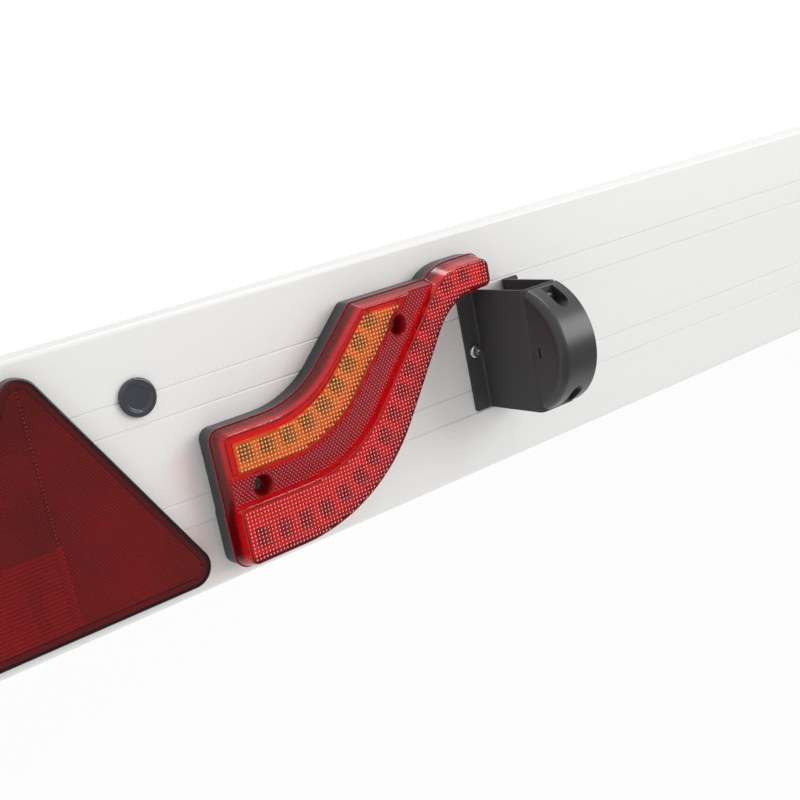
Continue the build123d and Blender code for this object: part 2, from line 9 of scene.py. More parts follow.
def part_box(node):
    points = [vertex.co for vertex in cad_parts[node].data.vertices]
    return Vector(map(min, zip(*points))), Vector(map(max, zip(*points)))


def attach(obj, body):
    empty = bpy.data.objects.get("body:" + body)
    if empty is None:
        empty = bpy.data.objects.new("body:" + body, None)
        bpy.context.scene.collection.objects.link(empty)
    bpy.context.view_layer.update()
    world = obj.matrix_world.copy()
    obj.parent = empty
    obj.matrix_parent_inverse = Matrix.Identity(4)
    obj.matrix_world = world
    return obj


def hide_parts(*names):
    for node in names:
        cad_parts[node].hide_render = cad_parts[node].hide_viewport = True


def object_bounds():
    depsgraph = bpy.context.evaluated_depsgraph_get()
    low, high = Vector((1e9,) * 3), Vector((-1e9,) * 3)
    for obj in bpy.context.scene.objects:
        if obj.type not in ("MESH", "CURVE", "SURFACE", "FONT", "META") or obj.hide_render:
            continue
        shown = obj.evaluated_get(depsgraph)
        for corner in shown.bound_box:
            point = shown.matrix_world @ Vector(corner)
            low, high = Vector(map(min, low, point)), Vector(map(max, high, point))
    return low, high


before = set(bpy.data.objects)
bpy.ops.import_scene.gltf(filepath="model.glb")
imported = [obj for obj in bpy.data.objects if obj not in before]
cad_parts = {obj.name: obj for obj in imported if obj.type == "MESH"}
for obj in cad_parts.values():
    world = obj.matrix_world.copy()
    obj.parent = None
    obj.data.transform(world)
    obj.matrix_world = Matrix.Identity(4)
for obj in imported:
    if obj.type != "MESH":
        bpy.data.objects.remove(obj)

bl_info = {
    "name": "Trailer Lighting Board",
    "version": (1, 0, 0),
    "blender": (4, 5, 0),
    "location": "View3D > Sidebar > Lighting Board",
    "description": "Dresses the lighting board with its finishes, lens optics, screws and studio",
    "category": "Object",
}

cad_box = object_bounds()
SIDES = ("left", "right")
MM = 0.001
MERGE_GAP = 0.002 * MM  # corners nearer than this are one corner
FLAT_TURN = 0.3  # faces that turn by less than this, in degrees, are one face
RAY_START = 0.1  # how far before a lens, in metres, the rays start that look for it
LEVEL_SLACK = 0.05 * MM  # how far a lens may lie off the level that its optics cover
LOOKS_BACK = 0.3  # least Y in the normal of a face that looks back at the board
FLAT_AHEAD, FLAT_BACK = -0.95, 0.9  # Y past which a normal belongs to a flat front, or to a flat back


# Properties that a user would change

def length(name, description, millimetres):
    """A length property, given in millimetres and kept in metres."""
    return FloatProperty(name=name, description=description, default=millimetres * MM,
                         min=0.0, precision=5, unit="LENGTH", subtype="DISTANCE")


def colour(name, description, hex_value):
    """A colour property, kept as an sRGB hex value."""
    return StringProperty(name=name, description=description, default=hex_value)


class LensOptics(bpy.types.PropertyGroup):
    """Sizes of the optics moulded on the lenses."""
    pillow_pitch: length("Pillow pitch", "Spacing of the pillow optics over the lamp", 2.0)
    pillow_radius: length("Pillow radius", "Radius of one pillow optic at its foot", 0.84)
    pillow_height: length("Pillow height", "How far a pillow optic stands out", 0.32)
    reflex_width: length("Reflex width", "Width of one prism on the lamp's reflex strip", 2.1)
    reflex_height: length("Reflex height", "Height of one prism on the lamp's reflex strip", 2.8)
    reflex_relief: length("Reflex relief", "How far a reflex prism stands out", 0.4)
    cube_pitch: length("Cube pitch", "Spacing of the corner cubes behind the triangle's front", 1.7)
    roof_pitch: length("Roof pitch", "Spacing of the triangle's lying roof prisms", 2.0)
    border: length("Border", "Plain border left round the optics of the lamp lenses", 0.7)


class PartFinish(bpy.types.PropertyGroup):
    """Colours of the board's finishes."""
    pvc: colour("PVC white", "Extruded board and its end caps", "#E9E9E7")
    # The lens reds below are one acrylic, stepped by depth to paint shade at its foot, a highlight at its
    # seam, and light in its wells and towards its front.
    red: colour("Lens red", "Front of the lamp lens", "#EA161E")
    mid_red: colour("Middle red", "Walls of the lamp lens half way up", "#A80F16")
    deep_red: colour("Deep red", "Foot of the lamp lens", "#900E16")
    seam_red: colour("Seam red", "Bead at the foot of the lamp lens", "#D8343E")
    well_red: colour("Well red", "Screw wells of the lamp lens", "#C01018")
    red_glint: colour("Red glint", "Crowns of the pillow optics on the red lens", "#FA9E9E")
    reflex_glint: colour("Reflex glint", "Crowns of the reflex prisms on the red lens", "#D8485A")
    triangle: colour("Triangle red", "Clear front of the triangles", "#DA141E")
    prism: colour("Prism red", "Corner cubes behind the triangles' front", "#7E0B11")
    prism_glint: colour("Prism glint", "Walls of the corner cubes that throw light back", "#880D13")
    roof: colour("Roof red", "Lying roof prisms behind the triangles' front", "#A60E15")
    triangle_edge: colour("Triangle edge", "Side walls of the triangles", "#2A0608")
    seam_glint: colour("Seam glint", "Dots along the seams of the triangles", "#C1181F")
    amber: colour("Lens amber", "Indicator window", "#F29C2A")
    amber_glint: colour("Amber glint", "Crowns of the pillow optics on the amber window", "#FFD090")
    window: colour("Window clear", "Windows of the plate lamps", "#F4F6F6")
    black: colour("Moulded black", "Lamp base and hood", "#303032")
    plug: colour("Plug black", "Plugs over the fixing bolts", "#3C3D45")
    coat: colour("Coat black", "Powder coat on the brackets", "#434345")
    rubber: colour("Rubber black", "Grommets", "#1B1B1C")
    tray: colour("Tray silver", "Metallised tray round the emitters", "#F8F8F6")
    mask: colour("Solder mask", "Circuit boards", "#40322C")
    resin: colour("Resin yellow", "Emitter bodies", "#9C8460")
    zinc: colour("Zinc", "Bright screws", "#C9CBCC")
    dark_zinc: colour("Dark zinc", "Screws deep in their wells", "#68686A")


class StudioSetup(bpy.types.PropertyGroup):
    """Camera, floor and light levels."""
    camera_place: FloatVectorProperty(
        name="Camera place", description="Where the camera stands", size=3,
        default=(-0.76761, -0.56145, 0.11633), subtype="TRANSLATION", unit="LENGTH")
    camera_forward: FloatVectorProperty(
        name="Camera forward", description="Direction in which the camera looks", size=3,
        default=(0.55661, 0.79515, -0.24067), subtype="DIRECTION")
    camera_up: FloatVectorProperty(
        name="Camera up", description="Direction that is up in the picture", size=3,
        default=(0.29464, 0.08192, 0.95209), subtype="DIRECTION")
    camera_lens: FloatProperty(
        name="Focal length", description="Camera's focal length in millimetres", default=55.55)
    paper: colour("Paper white", "Floor under the board", "#F4F4F4")
    floor_drop: length("Floor drop", "Gap between the board's lowest edge and the floor", 260.0)
    key_level: FloatProperty(name="Key light", description="Irradiance from the key light", default=1.29)
    top_power: FloatProperty(name="Top light", description="Power of the light above", default=7.0,
                             unit="POWER")
    card_level: FloatProperty(name="Grey card", description="Brightness of the card that the lenses mirror",
                              default=0.36)
    sky_level: FloatProperty(name="Sky level", description="Strength of the even light all round",
                             default=0.62)


# Nodes and finishes

def linear(hex_value):
    """The linear colour of an sRGB hex value."""
    parts = [int(hex_value[i:i + 2], 16) / 255 for i in (1, 3, 5)]
    return (*(p / 12.92 if p <= 0.04045 else ((p + 0.055) / 1.055) ** 2.4 for p in parts), 1.0)


def add_node(tree, kind, inputs=None, **settings):
    """Adds a node with its settings, its input values and its links."""
    made = tree.nodes.new(kind)
    for name, value in settings.items():
        setattr(made, name, value)
    for key, value in (inputs or {}).items():
        socket = made.inputs[key]
        if isinstance(value, bpy.types.NodeSocket):
            tree.links.new(value, socket)
        else:
            socket.default_value = value
    return made


def start_finish(name, hex_value, roughness, **sockets):
    """The node tree and shader of a new material, with the values that are the same all over it."""
    made = bpy.data.materials.new(name)
    made.use_nodes = True
    tree = made.node_tree
    tree.nodes.clear()
    shader = add_node(tree, "ShaderNodeBsdfPrincipled",
                      {"Base Color": linear(hex_value), "Roughness": roughness, **sockets})
    add_node(tree, "ShaderNodeOutputMaterial", {"Surface": shader.outputs["BSDF"]})
    return tree, shader


def show_surface(tree, surface):
    """Makes that shader output the surface of a material."""
    out = next(n for n in tree.nodes if n.type == "OUTPUT_MATERIAL")
    tree.links.new(surface, out.inputs["Surface"])


def pattern_place(tree, sizes):
    """Object coordinates counted in pattern sizes along each axis, given in millimetres."""
    place = add_node(tree, "ShaderNodeTexCoord").outputs["Object"]
    scale = [1 / (size * MM) for size in sizes]
    return add_node(tree, "ShaderNodeMapping", {"Vector": place, "Scale": scale}).outputs["Vector"]


def vary(tree, shader, pattern, tone=0.0, roughness=0.0, relief=None):
    """Lets a pattern from 0 to 1 shift a shader's colour and roughness by shares, and raise its surface.

    The relief is the strength of that raising and its height in millimetres.
    """
    if tone:
        base = shader.inputs["Base Color"].default_value
        ends = [(*(min(1.0, part * share) for part in base[:3]), 1.0) for share in (1 - tone, 1 + tone)]
        mix = add_node(tree, "ShaderNodeMix", {0: pattern, 6: ends[0], 7: ends[1]}, data_type="RGBA")
        tree.links.new(mix.outputs[2], shader.inputs["Base Color"])
    if roughness:
        middle = shader.inputs["Roughness"].default_value
        spread = add_node(tree, "ShaderNodeMapRange",
                          {"Value": pattern, "To Min": middle * (1 - roughness),
                           "To Max": middle * (1 + roughness)})
        tree.links.new(spread.outputs["Result"], shader.inputs["Roughness"])
    if relief:
        bump = add_node(tree, "ShaderNodeBump",
                        {"Height": pattern, "Strength": relief[0], "Distance": relief[1] * MM})
        tree.links.new(bump.outputs["Normal"], shader.inputs["Normal"])


def mottle(tree, sizes, detail=2.0):
    """A soft random pattern with those sizes along each axis, in millimetres."""
    return add_node(tree, "ShaderNodeTexNoise", {"Vector": pattern_place(tree, sizes), "Scale": 1.0,
                                                 "Detail": detail}).outputs["Fac"]


def let_lamps_through(tree, shader, hex_value, clear):
    """Lets the lamps through a clear finish in its own tint, so that what lies behind it is lit."""
    tint = [part ** 0.5 * clear for part in linear(hex_value)[:3]]
    shadow = add_node(tree, "ShaderNodeLightPath").outputs["Is Shadow Ray"]
    film = add_node(tree, "ShaderNodeBsdfTransparent", {"Color": (*tint, 1.0)})
    blend = add_node(tree, "ShaderNodeMixShader", {0: shadow, 1: shader.outputs[0], 2: film.outputs[0]})
    show_surface(tree, blend.outputs[0])


def seen_directly(tree):
    """1 on rays from the camera, off a mirror or through a lens, and 0 on rays that only carry light."""
    path = add_node(tree, "ShaderNodeLightPath").outputs
    seen = path["Is Camera Ray"]
    for ray in ("Is Glossy Ray", "Is Transmission Ray"):
        seen = add_node(tree, "ShaderNodeMath", {0: seen, 1: path[ray]}, operation="MAXIMUM").outputs[0]
    return seen


def extruded_pvc(finish):
    # White PVC drawn through a die: satin, with faint streaks along its length.
    tree, shader = start_finish("extruded_pvc", finish.pvc, 0.36, IOR=1.53)
    vary(tree, shader, mottle(tree, (380, 3.2, 3.2), 3.0), tone=0.012, roughness=0.12, relief=(0.02, 0.03))


def moulded_pvc(finish):
    # White PVC moulded in a spark-eroded tool: an even, fine grain, drawn coarse enough to show.
    tree, shader = start_finish("moulded_pvc", finish.pvc, 0.42, IOR=1.53)
    vary(tree, shader, mottle(tree, (0.9, 0.9, 0.9)), tone=0.02, roughness=0.12, relief=(0.06, 0.05))


def clear_acrylic(name, hex_value, clear, roughness, grain=None):
    # Clear acrylic: polished, with a slow drift of the melt in its tint. Where it has a grain behind
    # its front, that is drawn coarse enough to show.
    tree, shader = start_finish(name, hex_value, roughness, IOR=1.49)
    shader.inputs["Transmission Weight"].default_value = clear
    vary(tree, shader, mottle(tree, (24, 24, 24)), tone=0.05, roughness=0.2)
    if grain:
        vary(tree, shader, mottle(tree, (grain,) * 3), relief=(0.8, 0.5))
    if clear:
        let_lamps_through(tree, shader, hex_value, clear)


def lamp_acrylic(finish):
    # Red acrylic whose colour steps with depth: painted shade dark at its foot, a painted highlight as a
    # bright line at its seam, dark above that, and painted light glowing towards its front.
    wall_roughness, front_roughness = 0.14, 0.08
    walls_end, front_start = 0.85, 0.95  # shares of the way from the lens's foot to its front
    tree, shader = start_finish("red_acrylic", finish.red, wall_roughness, IOR=1.49)
    shader.inputs["Specular IOR Level"].default_value = 0.3
    low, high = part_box("left_lamp_lens")
    place = add_node(tree, "ShaderNodeTexCoord").outputs["Object"]
    away = add_node(tree, "ShaderNodeSeparateXYZ", {0: place}).outputs["Y"]
    level = add_node(tree, "ShaderNodeMapRange", {"Value": away, "From Min": high.y, "From Max": low.y})
    ramp = add_node(tree, "ShaderNodeValToRGB", {0: level.outputs["Result"]})
    steps = ramp.color_ramp.elements
    steps.remove(steps[1])
    # Depth behind the front in millimetres, colour there, and share of the light that passes.
    # These steps paint light and shade: a lighter red in the wells, dark at the foot, a bright line at the
    # seam and a glow towards the front.
    stops = ((16.0, finish.well_red, 0.2), (12.0, finish.well_red, 0.2), (11.9, finish.deep_red, 0.7),
             (11.6, finish.seam_red, 0.5), (11.2, finish.seam_red, 0.5), (11.0, finish.deep_red, 0.7),
             (9.6, finish.deep_red, 0.7), (7.4, finish.mid_red, 0.7), (4.0, finish.red, 0.7),
             (2.5, finish.red, 0.72), (1.2, finish.red, 0.93))
    for depth, hex_value, clear in stops:
        step = steps[0] if depth == stops[0][0] else steps.new(1 - depth * MM / (high.y - low.y))
        step.color = (*linear(hex_value)[:3], clear)
    polish = add_node(tree, "ShaderNodeMapRange",
                      {"Value": level.outputs["Result"], "From Min": walls_end, "From Max": front_start,
                       "To Min": wall_roughness, "To Max": front_roughness})
    tree.links.new(polish.outputs["Result"], shader.inputs["Roughness"])
    tree.links.new(ramp.outputs["Color"], shader.inputs["Base Color"])
    tree.links.new(ramp.outputs["Alpha"], shader.inputs["Transmission Weight"])
    let_lamps_through(tree, shader, finish.red, 0.9)


def painted_glint_crown(name, hex_value):
    # Tops of the optics, painted pale as a painted highlight: a small bright spot that shows from every
    # side.
    tree, shader = start_finish(name, hex_value, 0.3, IOR=1.49)
    vary(tree, shader, mottle(tree, (6, 6, 6)), tone=0.08, roughness=0.2)


def mirror_prisms(name, hex_value):
    # Backs of the triangles' prisms: clean facets that throw light back in the red of the front.
    tree, shader = start_finish(name, hex_value, 0.3, Metallic=0.25)
    vary(tree, shader, mottle(tree, (38, 38, 38), 1.0), tone=0.4, roughness=0.3)


def grained_black(name, hex_value, roughness, grain, relief, shine=0.5):
    # Black polymer from a grained tool or a powder gun: a soft sheen broken up by the grain, which is
    # drawn coarse enough to show.
    tree, shader = start_finish(name, hex_value, roughness, IOR=1.5)
    shader.inputs["Specular IOR Level"].default_value = shine
    vary(tree, shader, mottle(tree, (grain,) * 3, 3.0), tone=0.1, roughness=0.15, relief=relief)


def plated(name, hex_value, roughness):
    # Zinc on pressed steel: metal with faint tumbling marks, drawn coarse enough to show.
    tree, shader = start_finish(name, hex_value, roughness, Metallic=1.0)
    vary(tree, shader, mottle(tree, (0.7, 0.7, 0.7), 4.0), tone=0.12, roughness=0.25, relief=(0.08, 0.03))


def metallised_tray(finish):
    # Polycarbonate with a vapour-deposited aluminium skin: a soft mirror.
    tree, shader = start_finish("metallised_tray", finish.tray, 0.45, Metallic=0.25)
    vary(tree, shader, mottle(tree, (5, 5, 5)), tone=0.08, roughness=0.25)


def circuit_laminate(finish):
    # Glass-fibre board under a dark solder mask, with the weave just showing.
    tree, shader = start_finish("circuit_laminate", finish.mask, 0.45)
    vary(tree, shader, mottle(tree, (1.2, 1.2, 1.2), 1.0), tone=0.3, roughness=0.15)


def emitter_resin(finish):
    # Phosphor resin in a moulded body: pale yellow and slightly cloudy.
    tree, shader = start_finish("emitter_resin", finish.resin, 0.4)
    vary(tree, shader, mottle(tree, (0.8, 0.8, 0.8), 1.0), tone=0.08, roughness=0.2)


def all_finishes():
    """Makes every finish once, and returns them by name."""
    if "extruded_pvc" not in bpy.data.materials:
        finish = bpy.context.scene.part_finish
        extruded_pvc(finish)
        moulded_pvc(finish)
        lamp_acrylic(finish)
        clear_acrylic("red_grain", finish.red, clear=0.97, roughness=0.14, grain=2.4)
        clear_acrylic("triangle_acrylic", finish.triangle, clear=1.0, roughness=0.06)
        # Near-black opaque side walls: painted shade.
        clear_acrylic("edge_acrylic", finish.triangle_edge, clear=0.0, roughness=0.3)
        clear_acrylic("amber_acrylic", finish.amber, clear=0.95, roughness=0.06)
        clear_acrylic("amber_dome", finish.amber, clear=0.6, roughness=0.08)
        clear_acrylic("amber_grain", finish.amber, clear=0.97, roughness=0.14, grain=2.4)
        clear_acrylic("window_acrylic", finish.window, clear=0.95, roughness=0.06)
        clear_acrylic("red_dome", finish.red, clear=0.75, roughness=0.08)
        # A more opaque, lighter red for the faces round the screw wells: painted light in those recesses.
        clear_acrylic("well_acrylic", finish.well_red, clear=0.3, roughness=0.12)
        clear_acrylic("red_prism_acrylic", finish.mid_red, clear=0.7, roughness=0.15)
        # Pale crowns that paint a highlight on each optic and seam dot.
        painted_glint_crown("red_crown", finish.red_glint)
        painted_glint_crown("reflex_crown", finish.reflex_glint)
        painted_glint_crown("amber_crown", finish.amber_glint)
        painted_glint_crown("seam_crown", finish.seam_glint)
        mirror_prisms("red_prism_backs", finish.prism)
        # A lighter copy of the prism backs, a painted highlight for one wall of each corner cube.
        mirror_prisms("bright_prism_backs", finish.prism_glint)
        mirror_prisms("roof_prism_backs", finish.roof)
        metallised_tray(finish)
        grained_black("moulded_abs", finish.black, roughness=0.36, grain=0.8, relief=(0.1, 0.05))
        grained_black("polished_polyethylene", finish.plug, roughness=0.12, grain=6.0, relief=(0.03, 0.05))
        grained_black("hood_polyamide", finish.black, roughness=0.34, grain=0.9, relief=(0.2, 0.06))
        grained_black("powder_coat", finish.coat, roughness=0.55, grain=1.4, relief=(0.18, 0.06), shine=0.25)
        grained_black("soft_rubber", finish.rubber, roughness=0.62, grain=0.6, relief=(0.2, 0.05))
        plated("bright_zinc", finish.zinc, roughness=0.28)
        plated("black_zinc", finish.dark_zinc, roughness=0.4)
        circuit_laminate(finish)
        emitter_resin(finish)
    return bpy.data.materials


# Pieces

def set_down(name, mesh, slot_name, *nodes):
    """Links a finished mesh as a piece that rides on the board and stands for those nodes."""
    piece = bpy.data.objects.new(name, mesh)
    bpy.context.collection.objects.link(piece)
    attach(piece, "root")
    if nodes:
        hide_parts(*nodes)
    return piece


def smooth(mesh, crease):
    """Shades a mesh smooth, apart from edges that turn by more than the crease in degrees."""
    mesh.shade_smooth()
    mesh.set_sharp_from_angle(angle=math.radians(crease))


def settled(holder):
    """The plain mesh of an object with its modifiers, and the object itself removed."""
    graph = bpy.context.evaluated_depsgraph_get()
    mesh = bpy.data.meshes.new_from_object(holder.evaluated_get(graph))
    bpy.data.objects.remove(holder)
    return mesh


def dressed(node, slot_name, finish_name, bevel=0.0, crease=25):
    """A merged copy of a node with softened edges, even shading and its finish."""
    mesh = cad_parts[node].data.copy()
    for mark in [a for a in mesh.attributes if a.name in ("custom_normal", "sharp_edge", "sharp_face")]:
        mesh.attributes.remove(mark)
    form = bmesh.new()
    form.from_mesh(mesh)
    bmesh.ops.remove_doubles(form, verts=form.verts, dist=MERGE_GAP)
    bmesh.ops.dissolve_limit(form, angle_limit=math.radians(FLAT_TURN), verts=form.verts, edges=form.edges)
    form.to_mesh(mesh)
    form.free()
    mesh.materials.clear()
    mesh.materials.append(all_finishes()[finish_name])
    smooth(mesh, crease)
    holder = bpy.data.objects.new(node + "_edges", mesh)
    bpy.context.collection.objects.link(holder)
    if bevel:
        edge = holder.modifiers.new("edge", "BEVEL")
        edge.width = bevel * MM
        edge.segments = 2
        edge.limit_method = "ANGLE"
        edge.angle_limit = math.radians(crease)
    even = holder.modifiers.new("even", "WEIGHTED_NORMAL")
    even.keep_sharp = True
    return set_down(node + "_finish", settled(holder), slot_name, node)


def refinish(piece, finish_name, belongs):
    """Gives a further finish to those faces of a piece that belong to it."""
    piece.data.materials.append(all_finishes()[finish_name])
    for face in piece.data.polygons:
        if belongs(face):
            face.material_index = len(piece.data.materials) - 1


def paint(node, finish_name):
    """Gives a node its finish and leaves its shape."""
    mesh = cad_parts[node].data
    mesh.materials.clear()
    mesh.materials.append(all_finishes()[finish_name])


def form_object(name, points, faces):
    """A plain object for the fields of optics to repeat."""
    mesh = bpy.data.meshes.new(name)
    mesh.from_pydata(points, [], faces)
    made = bpy.data.objects.new(name, mesh)
    bpy.context.collection.objects.link(made)
    return made


def crowned(made, faces):
    """Marks those faces of a form as its crown."""
    marks = made.data.attributes.new("crown", "BOOLEAN", "FACE")
    for face in faces:
        marks.data[face].value = True
    return made


def pillow_form(radius, height, sides=10):
    """A low dome standing out towards the viewer, with a small crown over its middle."""
    ball = (radius ** 2 + height ** 2) / (2 * height)
    reach = math.asin(radius / ball)
    points, faces, crown = [(0.0, -height, 0.0)], [], []
    rings = (0.38, 0.7, 1.0)
    for ring in rings:
        lean = reach * ring
        for side in range(sides):
            turn = 2 * math.pi * side / sides
            points.append((ball * math.sin(lean) * math.cos(turn), ball - height - ball * math.cos(lean),
                           ball * math.sin(lean) * math.sin(turn)))
    for side in range(sides):
        after = (side + 1) % sides
        crown.append(len(faces))
        faces.append((0, 1 + side, 1 + after))
        for ring in range(len(rings) - 1):
            first = 1 + ring * sides
            faces.append((first + side, first + sides + side, first + sides + after, first + after))
    made = form_object("pillow", points, faces)
    made.data.shade_smooth()
    return crowned(made, crown)


def lozenge_form(width, height, relief, crown_share=0.42):
    """A low lozenge prism standing out towards the viewer, with a small flat crown."""
    outer = [(width / 2, 0.0, 0.0), (0.0, 0.0, height / 2), (-width / 2, 0.0, 0.0), (0.0, 0.0, -height / 2)]
    inner = [(x * crown_share, -relief, z * crown_share) for x, _, z in outer]
    faces = [(i, (i + 1) % 4, 4 + (i + 1) % 4, 4 + i) for i in range(4)] + [(4, 5, 6, 7)]
    return crowned(form_object("lozenge", outer + inner, faces), [4])


def cube_form(pitch, depth_share=0.3):
    """A hollow corner cube: three rhombic walls that meet at a point away from the viewer.

    It has that share of a true cube's depth, which softens its shading.
    """
    rim = pitch / math.sqrt(3)
    step = pitch / math.sqrt(6) * depth_share
    points = [(0.0, step * 2, 0.0)]
    for side in range(6):
        turn = math.pi * (side / 3 + 1 / 6)
        points.append((rim * math.cos(turn), step if side % 2 else 0.0, rim * math.sin(turn)))
    faces = [(0, 1 + side, 1 + (side + 1) % 6, 1 + (side + 2) % 6) for side in (1, 3, 5)]
    # The crown wall takes a painted highlight.
    return crowned(form_object("corner_cube", points, faces), [1])


def roof_form(pitch, depth_share=0.45):
    """A lying roof prism that points away from the viewer, open at both ends."""
    half, depth = pitch / 2, pitch * depth_share
    points = [(-half, 0.0, -half), (half, 0.0, -half), (-half, depth, 0.0), (half, depth, 0.0),
              (-half, 0.0, half), (half, 0.0, half)]
    return crowned(form_object("roof", points, [(0, 1, 3, 2), (2, 3, 5, 4)]), [0])


def field_tree():
    """A node tree that repeats a form over the part of a lens that lies at one level."""
    name = "optics_field"
    if name in bpy.data.node_groups:
        return bpy.data.node_groups[name]
    tree = bpy.data.node_groups.new(name, "GeometryNodeTree")
    ports = tree.interface
    for label, kind in (("Lens", "Object"), ("Form", "Object"), ("Corner", "Vector"), ("Columns", "Int"),
                        ("Rows", "Int"), ("Column Pitch", "Float"), ("Row Pitch", "Float"),
                        ("Stagger", "Float"), ("Border", "Float"), ("Depth", "Float"),
                        ("Finish", "Material"), ("Crown Finish", "Material")):
        ports.new_socket(name=label, in_out="INPUT", socket_type="NodeSocket" + kind)
    ports.new_socket(name="Field", in_out="OUTPUT", socket_type="NodeSocketGeometry")
    given = add_node(tree, "NodeGroupInput").outputs
    lens = add_node(tree, "GeometryNodeObjectInfo", {"Object": given["Lens"]}).outputs["Geometry"]
    form = add_node(tree, "GeometryNodeObjectInfo", {"Object": given["Form"]}).outputs["Geometry"]
    count = add_node(tree, "ShaderNodeMath", {0: given["Columns"], 1: given["Rows"]}, operation="MULTIPLY")
    points = add_node(tree, "GeometryNodePoints", {"Count": count.outputs[0]})
    index = add_node(tree, "GeometryNodeInputIndex").outputs[0]
    column = add_node(tree, "ShaderNodeMath", {0: index, 1: given["Columns"]}, operation="MODULO")
    share = add_node(tree, "ShaderNodeMath", {0: index, 1: given["Columns"]}, operation="DIVIDE")
    row = add_node(tree, "ShaderNodeMath", {0: share.outputs[0]}, operation="FLOOR")
    odd = add_node(tree, "ShaderNodeMath", {0: row.outputs[0], 1: 2.0}, operation="MODULO")
    shift = add_node(tree, "ShaderNodeMath", {0: odd.outputs[0], 1: given["Stagger"], 2: column.outputs[0]},
                     operation="MULTIPLY_ADD")
    along = add_node(tree, "ShaderNodeMath", {0: shift.outputs[0], 1: given["Column Pitch"]},
                     operation="MULTIPLY")
    up = add_node(tree, "ShaderNodeMath", {0: row.outputs[0], 1: given["Row Pitch"]}, operation="MULTIPLY")
    step = add_node(tree, "ShaderNodeCombineXYZ", {"X": along.outputs[0], "Z": up.outputs[0]})
    place = add_node(tree, "ShaderNodeVectorMath", {0: given["Corner"], 1: step.outputs[0]}).outputs[0]
    # A form is kept where the lens lies at its level, and also a border away from it on all four sides.
    keep = None
    for x, z in ((0, 0), (1, 0), (-1, 0), (0, 1), (0, -1)):
        reach = add_node(tree, "ShaderNodeVectorMath", {0: (x, 0, z), "Scale": given["Border"]},
                         operation="SCALE")
        start = add_node(tree, "ShaderNodeVectorMath", {0: place, 1: reach.outputs[0]})
        before = add_node(tree, "ShaderNodeVectorMath", {0: start.outputs[0], 1: (0, -RAY_START, 0)})
        ray = add_node(tree, "GeometryNodeRaycast",
                       {"Target Geometry": lens, "Source Position": before.outputs[0],
                        "Ray Direction": (0, 1, 0), "Ray Length": 2 * RAY_START})
        miss = add_node(tree, "ShaderNodeVectorMath", {0: ray.outputs["Hit Position"], 1: start.outputs[0]},
                        operation="DISTANCE")
        near = add_node(tree, "FunctionNodeCompare", {0: miss.outputs["Value"], 1: LEVEL_SLACK},
                        data_type="FLOAT", operation="LESS_THAN")
        both = add_node(tree, "FunctionNodeBooleanMath", {0: near.outputs[0], 1: ray.outputs["Is Hit"]})
        keep = both.outputs[0] if keep is None else add_node(
            tree, "FunctionNodeBooleanMath", {0: keep, 1: both.outputs[0]}).outputs[0]
    sunk = add_node(tree, "ShaderNodeCombineXYZ", {"Y": given["Depth"]})
    laid = add_node(tree, "ShaderNodeVectorMath", {0: place, 1: sunk.outputs[0]})
    placed = add_node(tree, "GeometryNodeSetPosition",
                      {"Geometry": points.outputs[0], "Position": laid.outputs[0]})
    spread = add_node(tree, "GeometryNodeInstanceOnPoints",
                      {"Points": placed.outputs[0], "Selection": keep, "Instance": form})
    real = add_node(tree, "GeometryNodeRealizeInstances", {"Geometry": spread.outputs[0]})
    flanks = add_node(tree, "GeometryNodeSetMaterial",
                      {"Geometry": real.outputs[0], "Material": given["Finish"]})
    crown = add_node(tree, "GeometryNodeInputNamedAttribute", {"Name": "crown"}, data_type="BOOLEAN")
    done = add_node(tree, "GeometryNodeSetMaterial",
                    {"Geometry": flanks.outputs[0], "Selection": crown.outputs["Attribute"],
                     "Material": given["Crown Finish"]})
    add_node(tree, "NodeGroupOutput", {"Field": done.outputs[0]})
    return tree


def run_tree(tree, name, values):
    """The mesh that a node tree makes from those inputs."""
    holder = bpy.data.objects.new(name, bpy.data.meshes.new(name))
    bpy.context.collection.objects.link(holder)
    grower = holder.modifiers.new("grower", "NODES")
    grower.node_group = tree
    for item in tree.interface.items_tree:
        if item.in_out == "INPUT":
            grower[item.identifier] = values[item.name]
    return settled(holder)


def optics_field(name, node, level, form, pitches, stagger, border, finish_names, slot_name,
                 depth=0.0, area=None):
    """Covers the part of a node's front that lies at one level, within an area, with a repeated form.

    The first finish is for the form's flanks and the last one for its crown.
    """
    low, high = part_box(node)
    left, bottom, right, top = area or (low.x, low.z, high.x, high.z)
    mesh = run_tree(field_tree(), name, {
        "Lens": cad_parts[node], "Form": form, "Corner": (left, level, bottom),
        "Columns": int((right - left) / pitches[0]) + 1, "Rows": int((top - bottom) / pitches[1]) + 1,
        "Column Pitch": pitches[0], "Row Pitch": pitches[1], "Stagger": stagger, "Border": border,
        "Depth": depth, "Finish": all_finishes()[finish_names[0]],
        "Crown Finish": all_finishes()[finish_names[-1]]})
    marks = mesh.attributes.get("crown")
    if marks:
        mesh.attributes.remove(marks)
    return set_down(name, mesh, slot_name)


class LIGHTBOARD_OT_board(bpy.types.Operator):
    """Dress the extruded board, its end caps and the feed grommet"""
    bl_idname = "lightboard.board"
    bl_label = "Board"

    def execute(self, context):
        dressed("board_profile", "white_pvc", "extruded_pvc", crease=15)
        for side in SIDES:
            dressed(side + "_end_cap", "white_pvc", "moulded_pvc")
        dressed("feed_grommet", "black_rubber", "soft_rubber")
        return {"FINISHED"}


